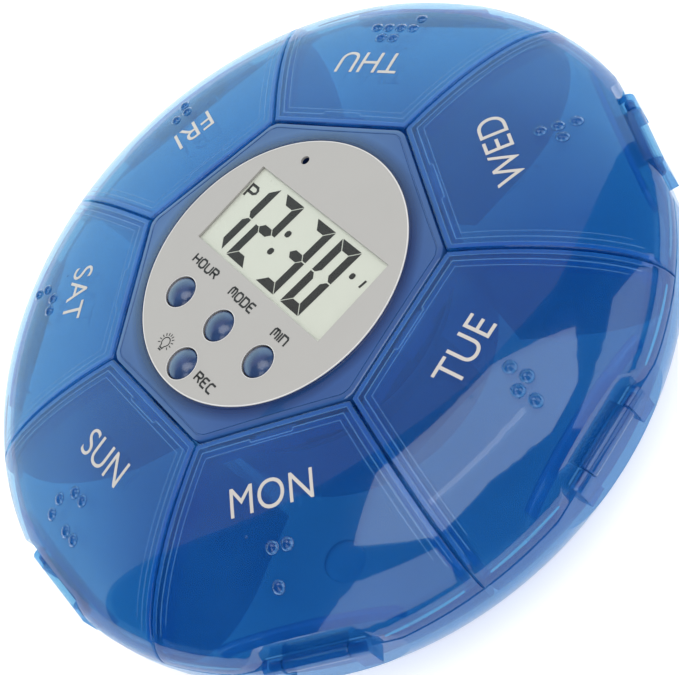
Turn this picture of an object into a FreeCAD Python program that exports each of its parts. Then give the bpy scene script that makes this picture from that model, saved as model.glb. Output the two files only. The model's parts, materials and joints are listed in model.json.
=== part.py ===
import FreeCAD, Part
import math
import os
import re

import Sketcher
from FreeCAD import Placement, Rotation, Vector

# Round seven-day pill organizer: a bowl-shaped tray with seven wedge compartments, seven lids
# hinged at the rim, and an electronic timer in a well at the centre.
# Frame: origin under the centre on the resting plane, +Z up, +X along the display's reading
# direction. The lid of the first day is centred on -Y.

sizes_mm = {
    # whole object
    "lid_count": 7,
    "rim_radius": 69.9,
    "base_z": 0.6,
    "band_z": 17.1,
    "rim_top_z": 19.35,
    "lid_bottom_z": 19.95,
    "crown_z": 35.55,
    "crown_radius": 30,
    "floor_radius": 48,
    "wall": 1.6,
    "floor_top_z": 2.4,
    "gap": 0.3,
    "stock": 60,
    # flats round the rim, one behind each hinge
    "flat_apothem": 68.2,
    "inner_flat_apothem": 66.6,
    # centre
    "well_apothem": 31.2,
    "well_radius": 29.6,
    "well_top_z": 32.6,
    "collar_top_z": 35.4,
    "divider_thick": 1.4,
    # lids
    "lid_thick": 1.5,
    "lid_inner_apothem": 31.5,
    "lid_boss_apothem": 65.3,
    "lid_skirt_thick": 1.4,
    "lid_skirt_z": 30.4,
    "seam_half_gap": 0.2,
    "rib_outside": 1.15,
    "rib_inside": 2.15,
    "rib_depth": 3,
    "catch_width": 8,
    "catch_z": 31.5,
    "catch_radius": 0.5,
    "catch_reach": 0.2,
    "catch_groove": 0.5,
    "catch_pad": 1.4,
    "catch_top_z": 33.9,
    # hinges
    "hinge_z": 19.65,
    "knuckle_radius": 1.5,
    "knuckle_clear": 1.8,
    "barrel_width": 12.2,
    "block_near": 6.4,
    "block_far": 9.9,
    "block_foot_z": 15.4,
    "pin_radius": 0.85,
    "pin_hole_radius": 0.91,
    "pin_reach": 8.6,
    "notch_half": 10.6,
    "notch_apothem": 66.9,
    "notch_top_z": 25.8,
    # raised dots
    "dot_radius": 1.3,
    "dot_rise": 0.55,
    "dot_column": 2.8,
    "dot_row": 3.1,
    "dot_first_row": 53.45,
    # timer
    "dial_z": 36,
    "dial_radius": 27.4,
    "ring_radius": 27.6,
    "shoulder_radius": 29.4,
    "shoulder_z": 35.2,
    "case_radius": 28.6,
    "case_inner": 27.4,
    "flange_z": 34.2,
    "case_foot_z": 21.4,
    "case_roof_z": 33.4,
    "case_seat_z": 35.45,
    "screen_x": 0.1,
    "screen_y": 4.75,
    "screen_long": 40.5,
    "screen_high": 17.9,
    "hole_x": -12.9,
    "hole_y": 19.4,
    "hole_radius": 0.9,
    # buttons
    "button_radius": 3.1,
    "button_bore": 3.3,
    "button_flange": 3.9,
    "button_top_z": 37,
    "button_foot_z": 32.45,
    "button_flange_z": 33.1,
    "button_ball": 4.5,
    # electronics
    "board_z": 28.8,
    "board_thick": 1.2,
    "board_radius": 26.4,
    "switch_side": 6,
    "switch_thick": 1.2,
    "plunger_radius": 1.1,
    "plunger_top_z": 31.6,
    "glass_margin": 1.45,
    "glass_z": 33.7,
    "glass_thick": 1.7,
    "light_thick": 1.4,
    "strip_deep": 1.4,
    "strip_gap": 0.3,
    "board_hole": 1.2,
    "board_hole_x": 18,
    "board_hole_y": -16,
    "can_radius": 2.2,
    "can_thick": 2.4,
    "can_mouth": 1.4,
    "can_top": 3,
    "chip_radius": 5,
    "chip_thick": 1.1,
    "chip_x": -12,
    "chip_y": 12,
    "speaker_radius": 9,
    "speaker_rim": 10.5,
    "speaker_top_z": 26.6,
    "speaker_rim_z": 25.4,
    "speaker_cup_z": 23.2,
    "magnet_radius": 5,
    "magnet_foot_z": 22.4,
    "back_thick": 1.6,
    "screw_circle": 24,
    "screw_hole": 1.3,
    "screw_head": 2,
    "screw_head_thick": 1.2,
    "screw_radius": 1,
    "screw_grip": 4,
    # battery bay
    "cell_radius": 5.2,
    "cell_long": 44.5,
    "cell_z": 8.4,
    "cell_pitch": 10.8,
    "nub_radius": 1.9,
    "nub_long": 1,
    "spring_radius": 2.6,
    "plate_half": 4,
    "plate_thick": 0.5,
    "bay_long": 53,
    "bay_wide": 24.4,
    "bay_top_z": 14.9,
    "bay_foot_z": 2.5,
    "bay_wall": 1.2,
    "door_long": 50,
    "door_wide": 23,
    "door_z": 0.95,
    "door_thick": 1.4,
    "door_pin": 0.45,
    "door_pin_hole": 0.52,
    "door_pin_reach": 1.4,
    "ridge_edge": 3,
    "ridge_pitch": 2,
    "ridge_wide": 0.8,
    "ridge_half": 5,
    "ridge_rise": 0.35,
    # feet
    "foot_radius": 4,
    "foot_circle": 42,
    "foot_top_z": 1.2,
}
days = {
    "sun": [(2, 3, 4), (1, 3, 6)],
    "mon": [(1, 3, 4)],
    "tue": [(2, 3, 4, 5)],
    "wed": [(2, 4, 5, 6)],
    "thu": [(2, 3, 4, 5), (1, 2, 5)],
    "fri": [(1, 2, 4)],
    "sat": [(2, 3, 4), (1,)],
}
buttons = {
    "hour": (-13.3, -14.0),
    "mode": (0, -13.8),
    "min": (13.1, -13.7),
    "light": (-0.3, -23.2),
}
first_lid_degrees = 270
foot_degrees = (45, 135, 225, 315)
screw_degrees = (30, 150, 270)

doc = FreeCAD.newDocument("pill_organizer")
sheet = doc.addObject("Spreadsheet::Sheet", "sizes")
for row, (alias, value) in enumerate(sizes_mm.items(), 1):
    sheet.set(f"A{row}", alias)
    sheet.set(f"B{row}", str(value))
    sheet.setAlias(f"B{row}", alias)
doc.recompute()

xAxis, yAxis, zAxis = Vector(1, 0, 0), Vector(0, 1, 0), Vector(0, 0, 1)
half_sector = "(180 deg / lid_count)"
lid_degrees = 360 / sizes_mm["lid_count"]
middle_degrees = [first_lid_degrees + number * lid_degrees for number in range(sizes_mm["lid_count"])]
corner_degrees = [middle + lid_degrees / 2 for middle in middle_degrees]


def bound(formula):
    """Formulas name the sheet's cells by alias alone; this adds the sheet's name."""
    return re.sub("[a-z_]+", lambda word: "sizes." * (word[0] in sizes_mm) + word[0], formula)


def bind(item, places):
    for place, formula in places.items():
        item.setExpression(place, bound(str(formula)))


def primitive(kind, name, dims, at=("0", "0", "0"), turn=None):
    item = doc.addObject("Part::" + kind, name)
    if turn:
        item.Placement = Placement(Vector(), turn)
    bind(item, dims)
    bind(item, {f"Placement.Base.{axis}": formula for axis, formula in zip("xyz", at)})
    return item


def box(name, low, high):
    """A box between two corners given as formulas."""
    spans = {side: f"({b}) - ({a})" for side, a, b in zip(("Length", "Width", "Height"), low, high)}
    return primitive("Box", name, spans, low)


def rod(name, radius, low, high, at=("0", "0"), along="z"):
    """A cylinder along one axis; at gives its centre line's other two coordinates in order."""
    turn = {"x": Rotation(yAxis, 90), "y": Rotation(xAxis, -90), "z": None}[along]
    place = {"x": (low, *at), "y": (at[0], low, at[1]), "z": (*at, low)}[along]
    return primitive("Cylinder", name, {"Radius": radius, "Height": f"({high}) - ({low})"}, place, turn)


def heptagon(name, apothem, low, high):
    """A seven-sided prism with a corner on +Y, so that one flat faces -Y."""
    dims = {"Polygon": "lid_count", "Circumradius": f"({apothem}) / cos({half_sector})"}
    dims["Height"] = f"({high}) - ({low})"
    return primitive("Prism", name, dims, ("0", "0", low), Rotation(zAxis, 90))


def fuse(name, *shapes):
    item = doc.addObject("Part::MultiFuse", name)
    item.Shapes = list(shapes)
    return item


def common(name, *shapes):
    item = doc.addObject("Part::MultiCommon", name)
    item.Shapes = list(shapes)
    return item


def cut(name, base, *tools):
    item = doc.addObject("Part::Cut", name)
    item.Base = base
    item.Tool = tools[0] if len(tools) == 1 else fuse(name + "_tools", *tools)
    return item


def group(name, *solids):
    item = doc.addObject("Part::Compound", name)
    item.Links = list(solids)
    return item


def turned(name, shape, degrees):
    """The same shape again, turned about the organizer's centre line."""
    item = doc.addObject("App::Link", name)
    item.LinkedObject = shape
    item.LinkTransform = True
    item.Placement = Placement(Vector(), Rotation(zAxis, degrees))
    return item


def profile(body, name, plane, corners, ellipses=()):
    """A closed sketch through corners given as formulas, anticlockwise. An edge whose number is in
    ellipses is a quarter ellipse that stands upright at its outer end and lies flat at its inner."""
    sketch = body.newObject("Sketcher::SketchObject", name)
    origin = next(part for part in body.Origin.OriginFeatures if part.Role == plane)
    sketch.AttachmentSupport = [(origin, "")]
    sketch.MapMode = "FlatFace"
    values = [[sheet_value(formula) for formula in corner] for corner in corners]
    for number, (x, y) in enumerate(values):
        nextX, nextY = values[(number + 1) % len(values)]
        if number in ellipses:
            rises = x > nextX
            centre = Vector(min(x, nextX), y if rises else nextY, 0)
            oval = Part.Ellipse(centre, abs(x - nextX), nextY - y)
            start = 0 if rises else -math.pi / 2
            sketch.addGeometry(Part.ArcOfEllipse(oval, start, start + math.pi / 2), False)
        else:
            sketch.addGeometry(Part.LineSegment(Vector(x, y, 0), Vector(nextX, nextY, 0)), False)
    last = len(values) - 1
    for number in range(len(values)):
        before = last if number == 0 else number - 1
        sketch.addConstraint(Sketcher.Constraint("Coincident", before, 2, number, 1))
    for number, corner in enumerate(corners):
        for way, formula, value, axis in zip("XY", corner, values[number], (-2, -1)):
            if value == 0:
                sketch.addConstraint(Sketcher.Constraint("PointOnObject", number, 1, axis))
                continue
            mark = sketch.addConstraint(Sketcher.Constraint("Distance" + way, number, 1, value))
            sketch.renameConstraint(mark, f"{way.lower()}{number}")
            sketch.setExpression(f"Constraints.{way.lower()}{number}", bound(formula))
    for number in ellipses:
        outer, inner = (1, 2) if values[number][0] > values[(number + 1) % len(values)][0] else (2, 1)
        sketch.addConstraint(Sketcher.Constraint("Horizontal", number, 3, number, outer))
        sketch.addConstraint(Sketcher.Constraint("Vertical", number, 3, number, inner))
        longAxis = sketch.GeometryCount
        sketch.exposeInternalGeometry(number)
        sketch.addConstraint(Sketcher.Constraint("Horizontal", longAxis))
    return sketch


def sheet_value(formula):
    probe = sheet.evalExpression(bound(formula))
    return float(getattr(probe, "Value", probe))


def turned_body(name, corners, ellipses=()):
    """A solid of revolution about the centre line."""
    body = doc.addObject("PartDesign::Body", name)
    sketch = profile(body, name + "_profile", "XZ_Plane", corners, ellipses)
    spin = body.newObject("PartDesign::Revolution", name + "_turn")
    spin.Profile = sketch
    spin.ReferenceAxis = (sketch, ["V_Axis"])
    spin.Angle = 360
    sketch.Visibility = False
    return body


def plate(name, corners, low, high):
    """A flat plate with a straight-sided outline."""
    body = doc.addObject("PartDesign::Body", name)
    sketch = profile(body, name + "_outline", "XY_Plane", corners)
    bind(sketch, {"AttachmentOffset.Base.z": low})
    pad = body.newObject("PartDesign::Pad", name + "_pad")
    pad.Profile = sketch
    bind(pad, {"Length": f"({high}) - ({low})"})
    return body


def wedge(name, near, far, inset):
    """The plan of one lid, centred on +X, pulled in from the seams by inset."""
    half = {at: f"({at}) * tan({half_sector}) - ({inset}) / cos({half_sector})" for at in (near, far)}
    corners = [(near, f"-({half[near]})"), (far, f"-({half[far]})"), (far, half[far]), (near, half[near])]
    return plate(name, corners, "0", "stock")


def dome(name, inset, low):
    """A quarter ellipse from the rim up to the flat crown, turned about the centre line."""
    corners = [("0", low), (f"rim_radius - ({inset})", low), ("crown_radius", f"crown_z - ({inset})")]
    corners.append(("0", f"crown_z - ({inset})"))
    return turned_body(name, corners, ellipses=(1,))


def bowl(name, inset, low, high):
    """A bowl: flat floor, quarter-ellipse side, and a straight band up to high."""
    corners = [("0", low), ("floor_radius", low), (f"rim_radius - ({inset})", "band_z")]
    corners += [(f"rim_radius - ({inset})", high), ("0", high)]
    return turned_body(name, corners, ellipses=(1,))


# ---------------------------------------------------------------- tray


def make_tray():
    outer = bowl("bowl_outer", "0", "base_z", "rim_top_z")
    inner = bowl("bowl_inner", "wall", "floor_top_z", "stock")
    shell = common("bowl_shell", outer, heptagon("bowl_flats", "flat_apothem", "0", "stock"))
    room = common("bowl_room", inner, heptagon("room_flats", "inner_flat_apothem", "0", "stock"))
    hull = cut("bowl_hull", shell, room)

    fin = box(
        "divider_stock",
        ("well_radius + 1", "-divider_thick / 2", "base_z + 0.5"),
        ("rim_radius - wall / 2", "divider_thick / 2", "crown_z"),
    )
    fins = [turned(f"divider_{turn}", fin, corner) for turn, corner in enumerate(corner_degrees)]
    skirt_room = heptagon(
        "skirt_room", "lid_inner_apothem + lid_skirt_thick + gap", "lid_skirt_z - gap", "stock"
    )
    dividers = cut("dividers", fuse("divider_set", *fins), skirt_room)
    well = heptagon("well_stock", "well_apothem", "base_z + 0.5", "well_top_z")
    under_lids = dome("divider_limit", "lid_thick + gap + 0.1", "rim_top_z")
    in_bowl = bowl("wall_limit", "wall / 2", "base_z + 0.5", "rim_top_z")
    limit = fuse("wall_envelope", under_lids, in_bowl)
    walls = common("inner_walls", fuse("wall_stock", well, dividers), limit)

    block = fuse(
        "hinge_block",
        box(
            "block_foot",
            ("inner_flat_apothem", "block_near", "block_foot_z"),
            ("flat_apothem + knuckle_radius", "block_far", "hinge_z"),
        ),
        rod("block_round", "knuckle_radius", "block_near", "block_far", ("flat_apothem", "hinge_z"), "y"),
    )
    other = doc.addObject("Part::Mirroring", "hinge_block_other")
    other.Source = block
    other.Normal = yAxis
    pair = fuse("hinge_blocks", block, other)
    slot = rod(
        "barrel_room",
        "knuckle_clear",
        "-block_near",
        "block_near",
        ("flat_apothem", "hinge_z"),
        "y",
    )
    holes = rod(
        "pin_holes",
        "pin_hole_radius",
        "-pin_reach - gap",
        "pin_reach + gap",
        ("flat_apothem", "hinge_z"),
        "y",
    )
    slots = [turned(f"barrel_room_{turn:.0f}", slot, turn) for turn in middle_degrees]
    blocks = [turned(f"hinge_blocks_{turn:.0f}", pair, turn) for turn in middle_degrees]
    bores = [turned(f"pin_holes_{turn:.0f}", holes, turn) for turn in middle_degrees]

    body = cut("tray_body", fuse("tray_walls", hull, walls), *slots)
    bore = rod("well_bore", "well_radius", "floor_top_z", "stock")
    opening = box(
        "door_opening",
        ("-door_long / 2 - gap", "-door_wide / 2 - gap", "0"),
        ("door_long / 2 + gap", "door_wide / 2 + gap", "floor_top_z + 1"),
    )
    door_pins = rod(
        "door_pin_holes",
        "door_pin_hole",
        "-door_wide / 2 - door_pin_reach - gap",
        "door_wide / 2 + door_pin_reach + gap",
        ("-door_long / 2 + door_thick / 2", "door_z + door_thick / 2"),
        "y",
    )
    groove = box(
        "catch_groove",
        (
            "well_apothem - catch_groove",
            "-catch_width / 2 - gap",
            "catch_z - catch_radius - gap",
        ),
        ("well_apothem + 1", "catch_width / 2 + gap", "catch_z + catch_radius + gap"),
    )
    grooves = [turned(f"catch_groove_{turn:.0f}", groove, turn) for turn in middle_degrees]
    pockets = [foot(f"foot_pocket_{turn}", turn, "base_z") for turn in foot_degrees]
    whole = fuse("tray_stock", body, *blocks)
    return cut("tray", whole, bore, opening, door_pins, *bores, *grooves, *pockets)


def foot(name, degrees, low):
    x = f"foot_circle * cos({degrees} deg)"
    y = f"foot_circle * sin({degrees} deg)"
    return rod(name, "foot_radius", low, "foot_top_z", (x, y))


# ---------------------------------------------------------------- collar and lids


def make_collar():
    ring = heptagon("collar_stock", "well_apothem", "well_top_z", "collar_top_z")
    throat = rod("collar_throat", "case_radius + 0.15", "0", "stock")
    seat = rod("collar_seat", "shoulder_radius + 0.1", "flange_z", "stock")
    return cut("hub_frame", ring, throat, seat)


def make_lid_blank():
    """One lid without its raised dots, centred on +X, closed."""
    outer = dome("lid_outer", "0", "lid_bottom_z")
    inner = dome("lid_inner", "lid_thick", "lid_bottom_z")
    deep = dome("lid_deep", "lid_thick + rib_depth", "lid_bottom_z")
    plan = wedge("lid_plan", "lid_inner_apothem", "flat_apothem", "seam_half_gap")
    stock = common("lid_stock", outer, plan)
    hollow = common(
        "lid_hollow",
        inner,
        wedge("lid_room", "lid_inner_apothem + lid_skirt_thick", "lid_boss_apothem", "-2"),
    )
    skirt_end = box(
        "skirt_end",
        ("well_radius", "-well_radius", "0"),
        ("lid_inner_apothem + lid_skirt_thick + 0.1", "well_radius", "lid_skirt_z"),
    )
    shell = cut("lid_shell", stock, hollow, skirt_end)
    frame = cut(
        "rib_frame",
        wedge("rib_outside_plan", "lid_inner_apothem + 0.7", "lid_boss_apothem + 0.5", "rib_outside"),
        wedge("rib_inside_plan", "lid_inner_apothem + 2", "lid_boss_apothem - 1", "rib_inside"),
    )
    ribs = common("lid_ribs", cut("rib_layer", inner, deep), frame)
    notch = box(
        "hinge_notch",
        ("notch_apothem", "-notch_half", "0"),
        ("rim_radius + 1", "notch_half", "notch_top_z"),
    )
    centre = ("flat_apothem", "hinge_z")
    room = rod("block_room", "knuckle_clear", "-block_far - gap", "block_far + gap", centre, "y")
    bare = cut("lid_bare", fuse("lid_ribbed", shell, ribs), notch, room)
    barrel = rod("lid_barrel", "knuckle_radius", "-barrel_width / 2", "barrel_width / 2", centre, "y")
    web = box(
        "barrel_web",
        ("lid_boss_apothem", "-barrel_width / 2", "lid_bottom_z"),
        ("flat_apothem", "barrel_width / 2", "hinge_z + knuckle_radius"),
    )
    pins = rod("lid_pins", "pin_radius", "-pin_reach", "pin_reach", centre, "y")
    bead = rod(
        "catch_bead",
        "catch_radius",
        "-catch_width / 2",
        "catch_width / 2",
        ("well_apothem - catch_reach + catch_radius", "catch_z"),
        "y",
    )
    pad = box(
        "catch_pad",
        ("lid_inner_apothem + 0.5", "-catch_width / 2", "lid_skirt_z"),
        ("lid_inner_apothem + lid_skirt_thick + catch_pad", "catch_width / 2", "catch_top_z"),
    )
    return fuse("lid_blank", bare, barrel, web, pins, bead, pad)


def make_lid(day, cells, blank, turn):
    """Raised dots: a cell is two columns of three, numbered down the left column and then the right.
    Rows run outwards from the centre, columns anticlockwise."""
    dots = []
    columns = 2 * len(cells)
    for place, cell in enumerate(cells):
        for dot in cell:
            column = 2 * place + (dot - 1) // 3 - (columns - 1) / 2
            along = f"(dot_first_row + {(dot - 1) % 3} * dot_row)"
            across = f"({column} * dot_column)"
            reach = f"(sqrt({along} ^ 2 + {across} ^ 2) - crown_radius)"
            drop = f"sqrt(1 - ({reach} / (rim_radius - crown_radius)) ^ 2)"
            height = f"lid_bottom_z + (crown_z - lid_bottom_z) * {drop} - dot_radius + dot_rise"
            name = f"dot_{day}_{place}_{dot}"
            dots.append(primitive("Sphere", name, {"Radius": "dot_radius"}, (along, across, height)))
    lid = fuse(f"lid_{day}", blank, *dots)
    lid.Placement = Placement(Vector(), Rotation(zAxis, turn))
    return lid


# ---------------------------------------------------------------- timer


def button_bores(name, radius, low):
    return [
        rod(f"{name}_{key}", radius, low, "stock", (str(x), str(y))) for key, (x, y) in buttons.items()
    ]


def screen_box(name, margin, low, high):
    """A box over the display window, larger than it by margin all round."""
    return box(
        name,
        (f"screen_x - screen_long / 2 - ({margin})", f"screen_y - screen_high / 2 - ({margin})", low),
        (f"screen_x + screen_long / 2 + ({margin})", f"screen_y + screen_high / 2 + ({margin})", high),
    )


def make_case():
    """Cup turned upside down: roof with the screen and button openings, sloping ring, seat for the dial."""
    corners = [
        ("0", "case_roof_z"),
        ("case_inner", "case_roof_z"),
        ("case_inner", "case_foot_z"),
        ("case_radius", "case_foot_z"),
        ("case_radius", "flange_z"),
        ("shoulder_radius", "flange_z"),
        ("shoulder_radius", "shoulder_z"),
        ("ring_radius + 0.4", "dial_z - 0.05"),
        ("ring_radius", "dial_z - 0.05"),
        ("ring_radius", "case_seat_z"),
        ("0", "case_seat_z"),
    ]
    cup = turned_body("case_cup", corners)
    screen = screen_box("case_screen", "glass_margin + 0.2", "case_roof_z - 1", "stock")
    sound = rod("case_sound", "hole_radius", "case_roof_z - 1", "stock", ("hole_x", "hole_y"))
    return cut("timer_case", cup, screen, sound, *button_bores("case_bore", "button_bore", "case_roof_z - 1"))


def make_faceplate():
    disc = rod("dial_disc", "dial_radius", "case_seat_z", "dial_z")
    screen = screen_box("dial_screen", "0", "0", "stock")
    sound = rod("dial_sound", "hole_radius", "0", "stock", ("hole_x", "hole_y"))
    return cut("faceplate", disc, screen, sound, *button_bores("dial_bore", "button_bore", "0"))


def make_button(key, x, y):
    """Domed cap on a flange that stops under the case's roof."""
    cap = common(
        f"{key}_cap",
        rod(f"{key}_post", "button_radius", "button_foot_z", "button_top_z + 1", (str(x), str(y))),
        primitive(
            "Sphere",
            f"{key}_ball",
            {"Radius": "button_ball"},
            (str(x), str(y), "button_top_z - button_ball"),
        ),
    )
    low = rod(f"{key}_shank", "button_radius", "button_foot_z", "dial_z - 0.6", (str(x), str(y)))
    flange = rod(f"{key}_flange", "button_flange", "button_foot_z", "button_flange_z", (str(x), str(y)))
    return fuse(f"button_{key}", cap, low, flange)


def make_board():
    disc = rod("board_disc", "board_radius", "board_z", "board_z + board_thick")
    holes = [
        rod(f"board_hole_{side}", "board_hole", "0", "stock", (f"{side} * board_hole_x", "board_hole_y"))
        for side in (-1, 1)
    ]
    return cut("circuit_board", disc, *holes)


def make_switches():
    top = "board_z + board_thick"
    switches = []
    for key, (x, y) in buttons.items():
        base = box(
            f"switch_base_{key}",
            (f"{x} - switch_side / 2", f"{y} - switch_side / 2", top),
            (f"{x} + switch_side / 2", f"{y} + switch_side / 2", f"{top} + switch_thick"),
        )
        plunger = rod(f"plunger_{key}", "plunger_radius", top, "plunger_top_z", (str(x), str(y)))
        switches.append(fuse(f"switch_{key}", base, plunger))
    return group("tact_switches", *switches)


def make_display():
    low_y, high_y = (f"screen_y {way} (screen_high / 2 + glass_margin)" for way in "-+")
    low_x, high_x = (f"screen_x {way} (screen_long / 2 + glass_margin)" for way in "-+")
    top = "board_z + board_thick"
    window = screen_box("lcd_window", "-0.15", "case_seat_z", "dial_z - 0.15")
    glass = box("lcd_glass", (low_x, low_y, "glass_z"), (high_x, high_y, "glass_z + glass_thick"))
    light = box(
        "backlight_panel",
        (low_x, f"{low_y} + strip_deep + strip_gap", "glass_z - light_thick"),
        (high_x, f"{high_y} - strip_deep - strip_gap", "glass_z"),
    )
    lower = box("strip_lower", (low_x, low_y, top), (high_x, f"{low_y} + strip_deep", "glass_z"))
    upper = box("strip_upper", (low_x, f"{high_y} - strip_deep", top), (high_x, high_y, "glass_z"))
    return [window, glass, light, group("zebra_strips", lower, upper)]


def make_small_parts():
    top = "board_z + board_thick"
    microphone = fuse(
        "microphone",
        rod("microphone_can", "can_radius", top, f"{top} + can_thick", ("hole_x", "hole_y")),
        rod("microphone_mouth", "can_mouth", top, f"{top} + can_top", ("hole_x", "hole_y")),
    )
    chip = rod("controller_chip", "chip_radius", "board_z - chip_thick", "board_z", ("chip_x", "chip_y"))
    speaker = fuse(
        "speaker",
        rod("speaker_cup", "speaker_radius", "speaker_cup_z", "speaker_top_z"),
        rod("speaker_flange", "speaker_rim", "speaker_rim_z", "speaker_top_z"),
        rod("speaker_magnet", "magnet_radius", "magnet_foot_z", "speaker_cup_z + gap"),
    )
    back_foot = "case_foot_z - back_thick"
    back = cut(
        "timer_back",
        rod("back_disc", "case_radius", back_foot, "case_foot_z"),
        *[screw_rod(f"back_hole_{turn}", "screw_hole", "0", "stock", turn) for turn in screw_degrees],
    )
    screws = []
    for turn in screw_degrees:
        head = screw_rod(f"head_{turn}", "screw_head", f"{back_foot} - screw_head_thick", back_foot, turn)
        shank = screw_rod(f"shank_{turn}", "screw_radius", back_foot, "case_foot_z + screw_grip", turn)
        screws.append(fuse(f"screw_{turn}", head, shank))
    return [microphone, chip, speaker, back, group("timer_screws", *screws)]


def screw_rod(name, radius, low, high, degrees):
    place = (f"screw_circle * cos({degrees} deg)", f"screw_circle * sin({degrees} deg)")
    return rod(name, radius, low, high, place)


def sorted_span(side, near, far):
    """Two distances out from the middle as a low and a high place on the given side of it."""
    return (near, far) if side > 0 else (f"-{far}", f"-{near}")


def make_battery_parts():
    holder = cut(
        "battery_holder",
        box(
            "holder_stock",
            ("-bay_long / 2", "-bay_wide / 2", "bay_foot_z"),
            ("bay_long / 2", "bay_wide / 2", "bay_top_z"),
        ),
        box(
            "holder_room",
            ("-bay_long / 2 + bay_wall", "-bay_wide / 2 + bay_wall", "0"),
            ("bay_long / 2 - bay_wall", "bay_wide / 2 - bay_wall", "bay_top_z - bay_wall"),
        ),
    )
    cells, springs, plates = [], [], []
    for side in (-1, 1):
        line = (f"{side} * cell_pitch / 2", "cell_z")
        can_end = "(cell_long / 2 - nub_long)"
        bay_end = "(bay_long / 2 - bay_wall)"
        barrel = rod(f"cell_{side}", "cell_radius", f"-{can_end}", can_end, line, "x")
        nub_span = sorted_span(side, f"({can_end} - 0.1)", "cell_long / 2")
        nub = rod(f"nub_{side}", "nub_radius", *nub_span, line, "x")
        cells.append(fuse(f"cell_whole_{side}", barrel, nub))
        spring_span = sorted_span(-side, can_end, f"({bay_end} - plate_thick)")
        springs.append(rod(f"spring_{side}", "spring_radius", *spring_span, line, "x"))
        for end in (-1, 1):
            face, back = sorted_span(end, f"({bay_end} - plate_thick)", bay_end)
            low = (face, f"{line[0]} - plate_half", "cell_z - plate_half")
            high = (back, f"{line[0]} + plate_half", "cell_z + plate_half")
            plates.append(box(f"plate_{side}_{end}", low, high))
    door = make_door()
    sets = {"battery_cells": cells, "contact_springs": springs, "contact_plates": plates}
    return [holder, *[group(name, *solids) for name, solids in sets.items()], door]


def make_door():
    """Flat door hinged at its -X end on two stub pins, with three grip ridges near the other end."""
    hinge = ("-door_long / 2 + door_thick / 2", "door_z + door_thick / 2")
    reach = "door_wide / 2"
    leaf = box(
        "door_leaf",
        ("-door_long / 2 + door_thick / 2", f"-{reach}", "door_z"),
        ("door_long / 2", reach, "door_z + door_thick"),
    )
    edge = rod("door_edge", "door_thick / 2", f"-{reach}", reach, hinge, "y")
    pins = rod("door_pins", "door_pin", f"-{reach} - door_pin_reach", f"{reach} + door_pin_reach", hinge, "y")
    ridges = [
        box(
            f"door_ridge_{step}",
            (f"door_long / 2 - ridge_edge - {step} * ridge_pitch", "-ridge_half", "door_z - ridge_rise"),
            (f"door_long / 2 - ridge_edge - {step} * ridge_pitch + ridge_wide", "ridge_half", "door_z + 0.2"),
        )
        for step in range(3)
    ]
    return fuse("battery_door", leaf, edge, pins, *ridges)


# ---------------------------------------------------------------- whole object

blank = make_lid_blank()
lids = [
    make_lid(day, cells, blank, first_lid_degrees + number * lid_degrees)
    for number, (day, cells) in enumerate(days.items())
]
feet = group("rubber_feet", *[foot(f"foot_{turn}", turn, "0") for turn in foot_degrees])
timer = [make_case(), make_faceplate(), make_board(), make_switches()]
caps = [make_button(key, x, y) for key, (x, y) in buttons.items()]
nodes = [make_tray(), make_collar(), *lids, *timer, *caps, *make_display(), *make_small_parts()]
nodes += [*make_battery_parts(), feet]
doc.recompute()

for item in doc.Objects:
    if any(word in item.State for word in ("Invalid", "Error")):
        raise RuntimeError(f"{item.Label} failed: {item.State}")
os.makedirs("parts", exist_ok=True)
for node in nodes:
    shape = node.Shape
    if shape.isNull() or not shape.isValid():
        raise RuntimeError(f"{node.Label} has no valid shape")
    shape.exportStep(f"parts/{node.Label}.step")
    print(f"{node.Label}: {len(shape.Solids)} solid(s), {shape.Volume:.1f} mm3")
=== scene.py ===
import math

import bmesh
import bpy
import numpy as np
from mathutils import Matrix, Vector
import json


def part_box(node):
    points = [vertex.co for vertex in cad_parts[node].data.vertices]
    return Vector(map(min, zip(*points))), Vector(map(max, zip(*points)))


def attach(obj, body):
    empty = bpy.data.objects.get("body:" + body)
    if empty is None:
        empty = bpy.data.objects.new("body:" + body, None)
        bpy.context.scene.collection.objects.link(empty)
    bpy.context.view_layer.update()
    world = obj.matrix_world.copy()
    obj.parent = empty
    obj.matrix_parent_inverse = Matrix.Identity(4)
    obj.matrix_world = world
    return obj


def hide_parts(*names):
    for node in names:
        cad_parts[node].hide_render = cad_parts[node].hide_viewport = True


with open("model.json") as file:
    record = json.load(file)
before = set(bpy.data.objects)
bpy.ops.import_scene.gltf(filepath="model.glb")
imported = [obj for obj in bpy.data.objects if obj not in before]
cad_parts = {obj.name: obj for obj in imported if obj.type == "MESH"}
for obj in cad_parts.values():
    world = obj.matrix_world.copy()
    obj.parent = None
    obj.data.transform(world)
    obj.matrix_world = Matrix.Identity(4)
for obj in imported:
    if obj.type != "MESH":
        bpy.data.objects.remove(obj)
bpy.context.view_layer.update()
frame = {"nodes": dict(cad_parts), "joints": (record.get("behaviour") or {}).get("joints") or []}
mm = 0.001
seventh = math.pi / 7
dayNames = ["sun", "mon", "tue", "wed", "thu", "fri", "sat"]
hinges = {joint["child"]: joint for joint in frame["joints"]}


def top(node):
    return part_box(node)[1].z / mm


def middle(node):
    low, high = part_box(node)
    return ((low + high) / 2 / mm)[:2]


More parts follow.
